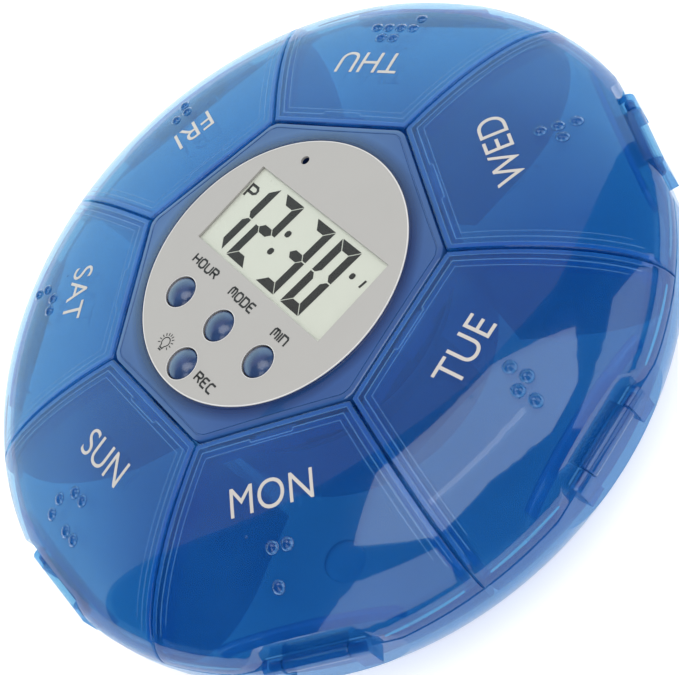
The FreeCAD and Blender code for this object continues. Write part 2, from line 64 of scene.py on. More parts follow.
class Wire:
    # a socket of one material; + - * and ** between sockets and numbers add Math nodes
    def __init__(self, tree, socket=None):
        self.tree, self.socket = tree, socket

    def node(self, kind, settings=None, inputs=None, out=0):
        made = self.tree.nodes.new("ShaderNode" + kind)
        for key, value in (settings or {}).items():
            setattr(made, key, value)
        for key, value in (inputs or {}).items():
            if isinstance(value, Wire):
                self.tree.links.new(value.socket, made.inputs[key])
            else:
                made.inputs[key].default_value = value
        return Wire(self.tree, made.outputs[out] if len(made.outputs) else None)

    def maths(self, operation, *values):
        return self.node("Math", {"operation": operation}, dict(enumerate(values)))

    def __add__(self, other):
        return self.maths("ADD", self, other)

    def __sub__(self, other):
        return self.maths("SUBTRACT", self, other)

    def __rsub__(self, other):
        return self.maths("SUBTRACT", other, self)

    def __mul__(self, other):
        return self.maths("MULTIPLY", self, other)

    def __pow__(self, other):
        return self.maths("POWER", self, other)

    def __rpow__(self, other):
        return self.maths("POWER", other, self)

    __radd__ = __add__
    __rmul__ = __mul__

    def blend(self, first, second):
        # this socket as a mask: the first colour where it is 0, the second where it is 1
        return self.node(
            "Mix", {"data_type": "RGBA"}, {0: self, 6: colour(first), 7: colour(second)}, out=2
        )


def colour(value):
    return value if isinstance(value, Wire) else (*value, 1)


def noise(graph, scale, detail=3, stretch=(1, 1, 1)):
    # cloudy values from 0 to 1 on Object coordinates; scale counts features in a metre
    place = graph.node("TexCoord", out=3)
    place = graph.node("Mapping", {}, {0: place, 3: stretch})
    return graph.node("TexNoise", {}, {0: place, 2: scale, 3: detail})


def newMaterial(name):
    material = bpy.data.materials.new(name)
    material.use_nodes = True
    material.node_tree.nodes.clear()
    return material, Wire(material.node_tree)


def finishMaterial(material, shader):
    shader.node("OutputMaterial", {}, {0: shader})
    return material


def satin(name, base, rough, spread=0.06, grain=9000, bump=0.02, shade=0.12, **fixed):
    # an opaque moulded or painted finish: cloudy shade, patchy roughness and a fine grain
    material, graph = newMaterial(name)
    cloud, fine = noise(graph, 160), noise(graph, grain, 2)
    dark = tuple(part * (1 - shade) for part in base)
    height = graph.node("Bump", {}, {0: bump, 1: 0.0001, "Height": fine})
    sockets = {
        "Base Color": cloud.blend(dark, base),
        "Roughness": (noise(graph, 700) - 0.5) * (2 * spread) + rough,
        "Normal": height,
        **fixed,
    }
    return finishMaterial(material, graph.node("BsdfPrincipled", {}, sockets))


def fromAxis(graph, near, far):
    # 0 up to a distance from the middle line of the object, 1 past another, even between them
    place = graph.node("TexCoord", out=3)
    x, y = (graph.node("SeparateXYZ", {}, {0: place}, out=axis) for axis in (0, 1))
    distance = (x * x + y * y) ** 0.5
    return graph.node("MapRange", {}, {0: distance, 1: near * mm, 2: far * mm})


def clearPlastic(name, deep, light, tint, cover, rough=0.02, swirl=60, gloss=1.0, fade=None):
    # tinted plastic: its body colour takes the share of light that cover gives and the rest passes
    # through tinted, under a mirror layer that strengthens towards the edges as on any clear plastic.
    # The body goes from deep to light in clouds, or outwards between the two radii of fade, which is
    # painted shade: darkest near the middle line
    material, graph = newMaterial(name)
    flow = noise(graph, swirl, 4, (1, 1, 2.5))
    if fade:
        flow = flow * 0.25 + fromAxis(graph, *fade) * 0.75
    wave = graph.node("Bump", {}, {0: 0.15, 1: 0.0001, "Height": noise(graph, 45, 1)})
    patches = noise(graph, 420, 2) * (rough * 0.7) + rough * 0.65
    body = {"Base Color": flow.blend(deep, light), "Roughness": patches + 0.1, "Normal": wave}
    solid = graph.node("BsdfPrincipled", {}, body)
    through = graph.node("BsdfTransparent", {}, {0: colour(tint)})
    share = flow * (0.3 * cover) + 0.85 * cover
    inside = graph.node("MixShader", {}, {0: share, 1: through, 2: solid})
    mirror = graph.node("BsdfGlossy", {}, {"Roughness": patches, "Normal": wave})
    turnedAway = graph.node("LayerWeight", {}, {0: 0.5, "Normal": wave}, out=1)
    edge = (turnedAway ** 5 * 0.7 + 0.05) * gloss
    # painted shade: inside fade the mirror layer also weakens towards the middle line
    if fade:
        edge = edge * (fromAxis(graph, *fade) * 0.7 + 0.3)
    return finishMaterial(material, graph.node("MixShader", {}, {0: edge, 1: inside, 2: mirror}))


blues = {
    "lid": dict(
        deep=(0.006, 0.080, 0.31), light=(0.022, 0.155, 0.46), tint=(0.49, 0.785, 0.94), cover=0.26,
    ),
    # painted highlight: the ribs and finger pad are the lid's plastic painted lighter, for the bright
    # lines they show
    "rib": dict(
        deep=(0.015, 0.16, 0.60), light=(0.03, 0.26, 0.80), tint=(0.50, 0.80, 1.0), cover=0.36,
    ),
    # painted highlight: a lighter copy of the lid's plastic for the bright bands along the seams
    "band": dict(
        deep=(0.010, 0.13, 0.52), light=(0.03, 0.22, 0.68), tint=(0.62, 0.86, 1.0), cover=0.30,
    ),
    # painted highlight: a lighter copy of the lid's plastic for the bright seam lines and the dot
    # rings
    "line": dict(
        deep=(0.06, 0.24, 0.58), light=(0.13, 0.35, 0.70), tint=(0.85, 0.94, 1.0), cover=0.47,
    ),
    # painted glint: a lighter copy of the lid's plastic for the light band low on the lid's wall
    "glint": dict(
        deep=(0.05, 0.30, 0.62), light=(0.09, 0.40, 0.72), tint=(0.85, 0.95, 1.0), cover=0.5,
        gloss=0.4,
    ),
    "tray": dict(
        deep=(0.005, 0.085, 0.32), light=(0.02, 0.165, 0.48), tint=(0.40, 0.72, 0.94), cover=0.30,
    ),
    "foot": dict(
        deep=(0.01, 0.12, 0.42), light=(0.02, 0.18, 0.55), tint=(0.55, 0.85, 1.0), cover=0.2,
        rough=0.3,
    ),
    # painted shadow of the raised dial: the near-black deep colour fades out from the dial's edge
    "collar": dict(
        deep=(0.002, 0.006, 0.045), light=(0.034, 0.115, 0.34), tint=(0.30, 0.55, 0.90), cover=0.74,
        fade=(27.2, 30.4),
    ),
    "button": dict(
        deep=(0.010, 0.028, 0.10), light=(0.032, 0.080, 0.21), tint=(0.2, 0.4, 0.9), cover=0.95,
        rough=0.16, swirl=420,
    ),
}
lidBlue, ribHighlightBlue, seamHighlightBandBlue, highlightLineBlue, glintBlue, trayBlue, footBlue, collarShadeBlue, buttonBlue = (
    clearPlastic(name + "_blue", **shades) for name, shades in blues.items()
)
finishes = {
    "timer_case": satin("ring_navy", (0.006, 0.020, 0.085), 0.22),
    "faceplate": satin("dial_silver", (0.385, 0.375, 0.36), 0.5, grain=14000, shade=0.04),
    "circuit_board": satin("board_green", (0.02, 0.16, 0.06), 0.4),
    "tact_switches": satin("switch_black", (0.03, 0.03, 0.032), 0.5),
    "controller_chip": satin("resin_black", (0.012, 0.012, 0.012), 0.35),
    "speaker": satin("speaker_grey", (0.12, 0.12, 0.12), 0.45, Metallic=0.6),
    "timer_back": satin("case_white", (0.72, 0.72, 0.70), 0.45),
    "battery_holder": satin("holder_white", (0.75, 0.75, 0.73), 0.5),
    "battery_cells": satin("cell_green", (0.05, 0.28, 0.12), 0.3),
    "contact_springs": satin("spring_steel", (0.62, 0.61, 0.58), 0.3, Metallic=1.0),
    "contact_plates": satin("plate_steel", (0.66, 0.65, 0.61), 0.28, Metallic=1.0),
    "timer_screws": satin("screw_steel", (0.58, 0.57, 0.55), 0.3, Metallic=1.0),
    "microphone": satin("can_steel", (0.5, 0.49, 0.46), 0.32, Metallic=1.0),
    "zebra_strips": satin("strip_grey", (0.16, 0.16, 0.17), 0.6),
    "lcd_glass": satin("display_grey", (0.565, 0.59, 0.535), 0.3, bump=0.004, shade=0.05),
    "backlight_panel": satin("panel_white", (0.8, 0.82, 0.78), 0.5),
}
finishes["lcd_window"] = clearPlastic(
    "window_clear", (0.7, 0.72, 0.7), (0.75, 0.77, 0.75), (0.99, 0.99, 0.98), 0.004, 0.02, gloss=0.3
)
finishes.update({"tray": trayBlue, "battery_door": trayBlue, "rubber_feet": footBlue})
for nodeName, finish in finishes.items():
    part = frame["nodes"][nodeName]
    part.data.materials.clear()
    part.data.materials.append(finish)
print("finishes on the CAD nodes")


def sheetFaces(rows, columns, closeRows=False, closeColumns=False, first=0):
    # quads of a grid whose points are numbered row by row; either way may close on itself
    numbers = np.arange(rows * columns).reshape(rows, columns) + first
    if closeRows:
        numbers = np.vstack([numbers, numbers[:1]])
    if closeColumns:
        numbers = np.hstack([numbers, numbers[:, :1]])
    corners = [numbers[:-1, :-1], numbers[:-1, 1:], numbers[1:, 1:], numbers[1:, :-1]]
    return np.stack([corner.ravel() for corner in corners], 1)


def barFaces(rings, closed=False):
    # faces of a bar whose rings have four corners each; it closes on itself or has two end faces
    faces = sheetFaces(rings, 4, closeRows=closed, closeColumns=True).tolist()
    if not closed:
        last = 4 * (rings - 1)
        faces += [[3, 2, 1, 0], [last, last + 1, last + 2, last + 3]]
    return faces


def build(name, groups, body, sharp=35, replaced=()):
    # joins the parts, each (points in mm, quads or polygons), of (material, parts) groups into one
    # mesh whose faces point outwards
    mesh = bpy.data.meshes.new(name)
    made, faces, finishOf, start = [], [], [], 0
    for number, (material, parts) in enumerate(groups):
        mesh.materials.append(material)
        for points, polygons in parts:
            points = np.asarray(points, float).reshape(-1, 3)
            made.append(points)
            faces += [[int(corner) + start for corner in polygon] for polygon in polygons]
            start += len(points)
        finishOf += [number] * (len(faces) - len(finishOf))
    mesh.from_pydata((np.vstack(made) * mm).tolist(), [], faces)
    mesh.polygons.foreach_set("material_index", finishOf)
    tidy = bmesh.new()
    tidy.from_mesh(mesh)
    bmesh.ops.remove_doubles(tidy, verts=tidy.verts, dist=2e-7)
    bmesh.ops.recalc_face_normals(tidy, faces=tidy.faces)
    tidy.to_mesh(mesh)
    tidy.free()
    mesh.polygons.foreach_set("use_smooth", [True] * len(mesh.polygons))
    mesh.set_sharp_from_angle(angle=math.radians(sharp))
    piece = bpy.data.objects.new(name, mesh)
    bpy.context.scene.collection.objects.link(piece)
    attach(piece, body)
    if replaced:
        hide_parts(*replaced)
    return piece


def lathe(profile, centre, steps=64, along="z"):
    # a profile of (radius, height) pairs turned about an axis through centre; poles have no radius
    radius, height = np.array(profile, float).T
    angle = np.linspace(0, 2 * math.pi, steps, endpoint=False)
    across = radius[:, None] * np.cos(angle), radius[:, None] * np.sin(angle)
    level = np.repeat(height[:, None], steps, 1)
    order = {"z": (*across, level), "y": (across[0], level, across[1])}[along]
    points = np.stack(order, -1) + np.array(centre, float)
    return points, sheetFaces(len(profile), steps, closeColumns=True)


def mirrored(half):
    # the whole profile of a turned piece that is alike on both sides of its middle
    return [(radius, -height) for radius, height in half] + half[::-1]


def roundedBlock(low, high, radius, steps=4):
    # a box with round edges: a ring round each level, each ring a rounded rectangle
    low, high = np.array(low, float), np.array(high, float)
    quarter = np.linspace(0, math.pi / 2, steps)
    angle = np.concatenate([quarter + turn * math.pi / 2 for turn in range(4)])
    centre, half = (low + high) / 2, (high - low) / 2 - radius
    side = np.repeat([[1, 1], [-1, 1], [-1, -1], [1, -1]], steps, 0) * half[:2]
    lean = np.concatenate([quarter - math.pi / 2, quarter])
    lift = np.repeat([-half[2], half[2]], steps) + radius * np.sin(lean)
    reach = radius * np.cos(lean)
    around = np.stack([np.cos(angle), np.sin(angle)], -1)
    flat = side[None] + reach[:, None, None] * around[None]
    rings = np.dstack([flat, np.repeat(lift[:, None], len(angle), 1)]) + centre
    ends = [np.full((1, len(angle), 3), [*centre[:2], level]) for level in (low[2], high[2])]
    rings = np.vstack([ends[0], rings, ends[1]])
    return rings, sheetFaces(len(rings), len(angle), closeColumns=True)


def stroke(path, width, level, thick, closed=False):
    # a flat bar of constant width along a path, mitred at its corners
    path = np.array(path, float)
    ahead = np.roll(path, -1, 0) - path
    ahead /= np.maximum(np.linalg.norm(ahead, axis=1)[:, None], 1e-9)
    behind = np.roll(ahead, 1, 0)
    if not closed:
        behind[0], ahead[-1] = ahead[0], behind[-1]
    lean = np.column_stack([-(ahead + behind)[:, 1], (ahead + behind)[:, 0]])
    lean /= np.maximum((lean ** 2).sum(1)[:, None], 1e-9) / 2
    left, right = path + lean * width / 2, path - lean * width / 2
    low, high = np.full(len(path), level), np.full(len(path), level + thick)
    ring = np.stack([
        np.column_stack([left, low]), np.column_stack([left, high]),
        np.column_stack([right, high]), np.column_stack([right, low]),
    ], 1)
    return ring, barFaces(len(path), closed)


def facing(points, degrees):
    # local points (out along the lid, across it, up) turned to the lid's own direction
    angle = math.radians(degrees)
    turned = np.array(points, float)
    out, across = turned[..., 0].copy(), turned[..., 1].copy()
    turned[..., 0] = out * math.cos(angle) - across * math.sin(angle)
    turned[..., 1] = out * math.sin(angle) + across * math.cos(angle)
    return turned


lidShape = {
    "rim": 69.9, "crownRadius": 30, "bottom": 19.95, "crown": 35.55, "wall": 1.5,
    "hub": 31.5, "skirt": 1.4, "skirtFoot": 30.4, "boss": 65.3, "flat": 68.2,
    "notch": 66.9, "notchHalf": (10.2, 10.9), "notchOut": 67.5, "seam": 0.2, "edge": 0.4,
    "wallTop": 1.1, "columns": 49, "rows": 46, "bends": 5, "wallRows": 11,
}
slope = math.tan(seventh)


def domeHeight(radius, inset=0):
    # height of the lid's quarter-ellipse skin at a distance from the centre line, inset below it
    share = (radius - lidShape["crownRadius"]) / (lidShape["rim"] - inset - lidShape["crownRadius"])
    rise = lidShape["crown"] - inset - lidShape["bottom"]
    return lidShape["bottom"] + rise * np.sqrt(np.clip(1 - np.clip(share, 0, 1) ** 2, 0, 1))


def seamHalf(out, inset):
    # half the width of a lid at a distance out, less a strip along its seam
    return out * slope - inset / math.cos(seventh)


def lidSkin(inset, hub, cut, edge, foot):
    # one skin of a lid. Columns fan out from the hub between the seams: across = lean * out + shift.
    # Rows: up the hub skirt, round its edge, down the ellipse to where the cut plane meets it, and
    # down the wall. Each column meets the ellipse radius r where out^2 + across^2 = r^2.
    shape = lidShape
    rimRadius = shape["rim"] - inset - shape["crownRadius"]
    rise = shape["crown"] - inset - shape["bottom"]
    plain = np.linspace(-1, 1, shape["columns"])
    around = np.linspace(0, math.pi / 2, shape["bends"] + 1)[1:]
    spread = edge / math.cos(seventh)
    gap = shape["seam"] / math.cos(seventh)
    fan = np.concatenate([-np.ones(len(around)), plain, np.ones(len(around))])
    lean = fan * slope
    swell = np.concatenate([-np.sin(around[::-1]), 0 * plain, np.sin(around)]) * spread
    drop = np.concatenate([1 - np.cos(around[::-1]), 0 * plain, 1 - np.cos(around)]) * edge
    shift = swell - fan * (gap + spread)

    def outAt(radius):
        square, product = 1 + lean ** 2, lean * shift
        root = np.sqrt(product ** 2 - square * (shift ** 2 - radius ** 2))
        return (root - product) / square

    hubIn = hub + edge
    startRadius = np.hypot(hubIn, lean * hubIn + shift)
    start = np.arcsin(np.clip((startRadius - shape["crownRadius"]) / rimRadius, 0, 1))
    side = np.abs(lean * shape["notchOut"] + shift)
    notchIn, notchEnd = shape["notchHalf"]
    blend = np.clip((side - notchIn) / (notchEnd - notchIn), 0, 1)
    blend = blend * blend * (3 - 2 * blend)
    plane = cut[1] + (cut[0] - cut[1]) * blend
    planeRadius = np.hypot(plane, lean * plane + shift)
    meet = np.arcsin(np.clip((planeRadius - shape["crownRadius"]) / rimRadius, 0, 1))
    meet = np.minimum(meet, math.acos(shape["wallTop"] / rise))
    share = np.linspace(0, 1, shape["rows"])[:, None]
    angle = start + (meet - start) * share
    radius = shape["crownRadius"] + rimRadius * np.sin(angle)
    out = np.minimum(outAt(radius), plane)
    level = shape["bottom"] + rise * np.cos(angle)

    bend = np.linspace(math.pi / 2, 0, shape["bends"] + 1)[:-1, None]
    hubOut = hubIn - edge * np.sin(bend) + 0 * lean
    hubLevel = level[0] - edge * (1 - np.cos(bend))
    skirtOut = np.full((2, len(lean)), float(hub))
    skirtLevel = np.linspace(shape["skirtFoot"], hubLevel[0], 3)[:2]
    wallShare = np.linspace(0, 1, shape["wallRows"] + 1)[1:, None]
    floor = shape["bottom"] + foot * (1 - blend)
    wallLevel = level[-1] + (floor - level[-1]) * wallShare
    tall = np.clip((wallLevel - shape["bottom"]) / rise, 0, 1)
    wallRadius = shape["crownRadius"] + rimRadius * np.sqrt(1 - tall ** 2)
    wallOut = np.minimum(outAt(wallRadius), plane)

    out = np.vstack([skirtOut, hubOut, out, wallOut])
    level = np.vstack([skirtLevel, hubLevel, level, wallLevel])
    turnIn = np.linspace(0, 1, len(bend))
    fade = np.concatenate([np.zeros(2), turnIn, np.ones(shape["rows"] + shape["wallRows"])])
    return np.dstack([out, lean * out + shift, level - drop * fade[:, None]])


def lidShell():
    # the outer and inner skins joined all round into one closed wall
    shape = lidShape
    outer = lidSkin(0, shape["hub"], (shape["flat"], shape["notch"]), shape["edge"], 1.0)
    boss = shape["boss"], shape["boss"]
    inner = lidSkin(shape["wall"], shape["hub"] + shape["skirt"], boss, 0.001, 0.1)
    rows, columns = outer.shape[:2]
    count = rows * columns
    outside = np.arange(count).reshape(rows, columns)
    inside = outside + count
    rims = []
    for first, second in (
        (outside[0], inside[0]), (inside[-1], outside[-1]),
        (inside[:, 0], outside[:, 0]), (outside[:, -1], inside[:, -1]),
    ):
        rims.append(np.stack([first[:-1], second[:-1], second[1:], first[1:]], 1))
    faces = np.vstack([
        sheetFaces(rows, columns), sheetFaces(rows, columns, first=count)[:, ::-1], *rims
    ])
    return np.vstack([outer.reshape(-1, 3), inner.reshape(-1, 3)]), faces


ribShape = {  # side ribs run between the two ends; the cross rib is (distance out, half its length)
    "inset": 1.65, "ends": (33.6, 62.2), "hubShift": -0.3, "cross": (64.8, 17),
    "thick": 1.0, "deep": 3, "steps": 40,
}


def ribStrip(start, end):
    # a rib under the skin along a straight line in plan: four edges carried along it, ends closed
    start, end = np.array(start, float), np.array(end, float)
    line = start + (end - start) * np.linspace(0, 1, ribShape["steps"])[:, None]
    normal = np.array([start[1] - end[1], end[0] - start[0]])
    normal = normal / np.linalg.norm(normal) * ribShape["thick"] / 2
    left, right = line + normal, line - normal
    roof = domeHeight(np.hypot(*line.T), lidShape["wall"]) + 0.05
    foot = np.maximum(roof - ribShape["deep"], lidShape["bottom"] + 0.2)
    ring = np.stack([
        np.column_stack([left, roof]), np.column_stack([left, foot]),
        np.column_stack([right, foot]), np.column_stack([right, roof]),
    ], 1)
    return ring, barFaces(len(line))


dotShape = {"radius": 1.15, "rise": 0.75, "gateRadius": 0.28, "gateRise": 0.12}
dotTurn = np.linspace(0, 2 * math.pi, 28, endpoint=False)


def dot(out, across, radius=dotShape["radius"], rise=dotShape["rise"]):
    # a raised dot: a dome standing on the skin with a soft foot, closed just under it
    reach = radius * np.array([0, 0.2, 0.4, 0.58, 0.74, 0.87, 0.96, 1.0, 1.12, 1.14, 0])
    height = rise * np.array([1, 0.97, 0.88, 0.73, 0.52, 0.28, 0.1, 0.03, 0.0, -0.12, -0.12])
    x, y = out + reach[:, None] * np.cos(dotTurn), across + reach[:, None] * np.sin(dotTurn)
    level = domeHeight(np.hypot(x, y)) + height[:, None]
    level[0], level[-1] = level[0].mean(), level[-1].mean()
    return np.dstack([x, y, level]), sheetFaces(len(reach), len(dotTurn), closeColumns=True)


def dotHighlightRing(out, across):
    # a painted highlight ring at the foot of a raised dot: a thin closed light band lying on the dot
    # just above the skin
    reach = dotShape["radius"] * np.array([0.76, 0.88, 1.0, 0.88])
    height = dotShape["rise"] * np.array([0.47, 0.30, 0.04, 0.22])
    x, y = out + reach[:, None] * np.cos(dotTurn), across + reach[:, None] * np.sin(dotTurn)
    level = domeHeight(np.hypot(x, y)) + height[:, None]
    faces = sheetFaces(len(reach), len(dotTurn), closeRows=True, closeColumns=True)
    return np.dstack([x, y, level]), faces


dayDots = {  # dots of each cell, numbered 1 to 3 down its first column and 4 to 6 down its second
    "sun": [(2, 3, 4), (1, 3, 6)], "mon": [(1, 3, 4)], "tue": [(2, 3, 4, 5)], "wed": [(2, 4, 5, 6)],
    "thu": [(2, 3, 4, 5), (1, 2, 5)], "fri": [(1, 2, 4)], "sat": [(2, 3, 4), (1,)],
}
dotGrid = {"column": 2.8, "row": 3.1, "first": 53.45}


def lidDots(day):
    cells = dayDots[day]
    middleColumn = len(cells) - 0.5
    return [
        (
            dotGrid["first"] + (number - 1) % 3 * dotGrid["row"],
            (2 * place + (number - 1) // 3 - middleColumn) * dotGrid["column"],
        )
        for place, cell in enumerate(cells) for number in cell
    ]


lidMarks = {  # painted highlight lines and bands as (distance in, width, far end, jog round the finger pad)
    "lines": [(1.15, 0.14, 60.5, 0), (2.2, 0.2, 61, 0.6), (3.35, 0.14, 60, 0)],
    "bands": [(0.75, 0.7, 61.5, 0)],
    "padHalf": 4.0, "padSlope": 0.3, "rise": 0.015, "root": 0.05, "gate": (50.7, -5.9),
    # painted glint: a light band low on the lid's wall
    "rim": {"from": 11.2, "to": 23.6, "level": 21.9, "height": 0.6, "steps": 30},
}


def seamHighlightStrip(inset, width, far, jog):
    # a painted highlight: a thin light strip that runs up one seam, along the hub edge and down the
    # other seam at one distance in from them, standing in for the bright lines light makes along the
    # seams. jog pushes the hub stretch out round the finger pad. It lies on the skin
    near = lidShape["hub"] + inset
    nearHalf, farHalf = seamHalf(near, inset), seamHalf(far, inset)
    pad, padFoot = lidMarks["padHalf"], lidMarks["padHalf"] + lidMarks["padSlope"]
    corners = [(far, -farHalf), (near, -nearHalf)]
    if jog:
        corners += [(near, -padFoot), (near + jog, -pad), (near + jog, pad), (near, padFoot)]
    corners += [(near, nearHalf), (far, farHalf)]
    path = []
    for first, second in zip(corners[:-1], corners[1:]):
        steps = max(2, round(math.dist(first, second) / 0.7))
        path += np.linspace(first, second, steps, endpoint=False).tolist()
    root = lidMarks["root"]
    ring, faces = stroke(path + [corners[-1]], width, -root, root + lidMarks["rise"])
    ring[..., 2] += domeHeight(np.hypot(ring[..., 0], ring[..., 1]))
    return ring, faces


def rimGlintBand(side):
    # a painted glint low on the lid's wall, from the seam to the hinge notch: a thin closed light
    # band round the rim whose ends taper away
    shape, mark = lidShape, lidMarks["rim"]
    turn = np.radians(np.linspace(mark["from"], mark["to"], mark["steps"]))[:, None] * side
    half = mark["height"] / 2 * np.sin(np.linspace(0.12, 0.88, mark["steps"]) * math.pi) ** 0.5
    level = mark["level"] + half[:, None] * [-1, -1, 1, 1]
    tall = (level - shape["bottom"]) / (shape["crown"] - shape["bottom"])
    skin = shape["crownRadius"] + (shape["rim"] - shape["crownRadius"]) * np.sqrt(1 - tall ** 2)
    root, rise = lidMarks["root"], lidMarks["rise"]
    radius = skin + [-root, rise, rise, -root]
    return np.dstack([radius * np.cos(turn), radius * np.sin(turn), level]), barFaces(len(turn))


lidFittings = {  # the axle's and the bead's profiles as (radius, half length), blocks as two corners
    "hinge": (68.2, 0, 19.65),
    "axle": [(0, 8.6), (0.65, 8.6), (0.85, 8.4), (0.85, 6.1), (1.3, 6.1), (1.5, 5.9)],
    "web": {"low": (65.2, -6.1, 19.97), "high": (68.2, 6.1, 21.15), "radius": 0.25},
    "pad": {"low": (32.0, -4, 30.4), "high": (34.3, 4, 34.2), "radius": 0.3},
    "catch": (31.5, 0, 31.5),
    "bead": [(0, 4), (0.35, 4), (0.5, 3.85)],
}


def lidParts():
    # what every lid has, along the x axis
    fit, inset = lidFittings, ribShape["inset"]
    near, far = ribShape["ends"]
    nearHalf, farHalf = seamHalf(near, inset), seamHalf(far, inset)
    hubRib = near + ribShape["hubShift"], nearHalf
    ribs = [ribStrip((near, side * nearHalf), (far, side * farHalf)) for side in (-1, 1)]
    ribs += [ribStrip((out, -half), (out, half)) for out, half in (hubRib, ribShape["cross"])]
    axle = lathe(mirrored(fit["axle"]), fit["hinge"], 32, "y")
    bead = lathe(mirrored(fit["bead"]), fit["catch"], 20, "y")
    web, pad = roundedBlock(**fit["web"]), roundedBlock(**fit["pad"])
    return [
        (lidBlue, [lidShell(), axle, web, bead]), (ribHighlightBlue, [*ribs, pad]),
        (seamHighlightBandBlue, [seamHighlightStrip(*band) for band in lidMarks["bands"]]),
        (highlightLineBlue, [seamHighlightStrip(*line) for line in lidMarks["lines"]]),
        (glintBlue, [rimGlintBand(1), rimGlintBand(-1)]),
    ]


lidDegrees = {}
for day in dayNames:
    hinge = hinges["lid_" + day]["pos_m"]
    lidDegrees[day] = math.degrees(math.atan2(hinge[1], hinge[0]))
plainLid = lidParts()
gate = dot(*lidMarks["gate"], dotShape["gateRadius"], dotShape["gateRise"])
for day in dayNames:
    spots = lidDots(day)
    groups = [
        (lidBlue, [gate] + [dot(*spot) for spot in spots]),
        (highlightLineBlue, [dotHighlightRing(*spot) for spot in spots]), *plainLid,
    ]
    turned = [
        (finish, [(facing(points, lidDegrees[day]), faces) for points, faces in parts])
        for finish, parts in groups
    ]
    build(f"lid_{day}_shell", turned, "lid_" + day, replaced=["lid_" + day])
print("seven lids")


lettering = {
    "height": 5.25, "wide": 0.93, "spacing": 1.02, "thick": 0.09, "lift": 0.02, "cut": 0.9,
    "thin": -0.004,
}
nameAt = {  # middle of each name: out along its lid and across it
    "sun": (44.9, -0.15), "mon": (44.4, -0.55), "tue": (45.2, 0.5), "wed": (46.1, 0.5),
    "thu": (46.6, 0.1), "fri": (45.6, -0.95), "sat": (45.9, -0.9),
}


def flatText(words):
    # a word as a flat mesh, centred, cut into small faces so that it can follow a curve
    font = bpy.data.curves.new("word", "FONT")
    font.body, font.size, font.space_character = words, 1, lettering["spacing"]
    font.align_x, font.extrude, font.resolution_u = "CENTER", 0.5, 6
    font.offset = lettering["thin"]
    holder = bpy.data.objects.new("word", font)
    bpy.context.scene.collection.objects.link(holder)
    mesh = bpy.data.meshes.new_from_object(holder)
    bpy.data.objects.remove(holder)
    shape = bmesh.new()
    shape.from_mesh(mesh)
    bmesh.ops.remove_doubles(shape, verts=shape.verts, dist=1e-5)
    points = np.array([vertex.co for vertex in shape.verts])
    low, high = points.min(0), points.max(0)
    scale = lettering["height"] / (high[1] - low[1])
    for axis, lowest, highest in ((0, low[0], high[0]), (1, low[1], high[1])):
        normal = (1, 0, 0) if axis == 0 else (0, 1, 0)
        for cut in np.arange(lowest, highest, lettering["cut"] / scale)[1:]:
            geometry = [*shape.verts, *shape.edges, *shape.faces]
            where = (cut, 0, 0) if axis == 0 else (0, cut, 0)
            bmesh.ops.bisect_plane(shape, geom=geometry, plane_co=where, plane_no=normal)
    points = np.array([vertex.co for vertex in shape.verts])
    shape.verts.index_update()
    faces = [[vertex.index for vertex in face.verts] for face in shape.faces]
    shape.free()
    points[:, 0] = (points[:, 0] - (low[0] + high[0]) / 2) * scale * lettering["wide"]
    points[:, 1] = (points[:, 1] - (low[1] + high[1]) / 2) * scale
    return points, faces


inkGrey = satin("print_grey", (0.53, 0.50, 0.47), 0.42, grain=6000, bump=0.05)
for day in dayNames:
    points, faces = flatText(day.upper())
    out, across = nameAt[day][0] - points[:, 1], nameAt[day][1] + points[:, 0]
    skin = domeHeight(np.hypot(out, across))
    level = skin + lettering["lift"] + points[:, 2] * lettering["thick"]
    word = facing(np.column_stack([out, across, level]), lidDegrees[day])
    build(f"name_{day}", [(inkGrey, [(word, faces)])], "lid_" + day)
print("day names")


collarShape = {
    "apothem": 31.2, "top": 35.4, "foot": 32.6, "lip": 27.64, "lipTop": 36.0, "throat": 28.75,
    "ledge": 34.2, "stepsPerSide": 48,
}


def collar():
    # rows of (outline, distance in from it, height). An outline is a circle's radius or the
    # heptagon's, which at an angle is its apothem over the cosine of the angle from the nearest
    # side's middle, held back at the corners to soften them
    shape = collarShape
    angle = np.linspace(0, 2 * math.pi, 7 * shape["stepsPerSide"], endpoint=False)
    flat = angle - math.radians(270)
    flat = flat - np.round(flat / (2 * seventh)) * 2 * seventh
    outline = shape["apothem"] / np.cos(flat)
    corner = shape["apothem"] / math.cos(seventh) - 0.35
    soft = np.minimum(outline, corner + 0.05 * np.cos(7 * flat))
    rows = [
        (soft, 0.0, shape["foot"]), (soft, 0.0, shape["top"] - 0.35), (soft, 0.1, shape["top"] - 0.1),
        (soft, 0.35, shape["top"]), (soft, 1.0, shape["top"] + 0.05),
        (soft, 1.08, shape["top"] - 0.06), (soft, 1.26, shape["top"] - 0.06),
        (soft, 1.34, shape["top"] + 0.1),
        (shape["lip"], -1.7, shape["top"] + 0.24), (shape["lip"], -0.8, shape["top"] + 0.42),
        (shape["lip"], -0.2, shape["lipTop"] - 0.03), (shape["lip"], -0.05, shape["lipTop"]),
        (shape["lip"], 0.0, shape["lipTop"] - 0.04), (shape["lip"], 0.0, shape["lipTop"] - 0.3),
        (shape["throat"], 0.0, shape["ledge"]), (shape["throat"], 0.0, shape["foot"]),
    ]
    radius = np.array([base - inward + 0 * angle for base, inward, level in rows])
    level = np.array([height + 0 * angle for base, inward, height in rows])
    points = np.dstack([radius * np.cos(angle), radius * np.sin(angle), level])
    return points, sheetFaces(len(rows), len(angle), closeRows=True, closeColumns=True)


build("collar", [(collarShadeBlue, [collar()])], "base", replaced=["hub_frame"])
print("collar")


dialTop = top("faceplate")
buttonNames = ["hour", "mode", "min", "light"]
buttonAt = {name: middle("button_" + name) for name in buttonNames}
ink = satin("print_black", (0.014, 0.013, 0.013), 0.5, grain=12000)
trimWhite = satin("trim_pale", (0.66, 0.66, 0.66), 0.3)
segmentInk = satin("segment_dark", (0.010, 0.004, 0.004), 0.6, bump=0.004)

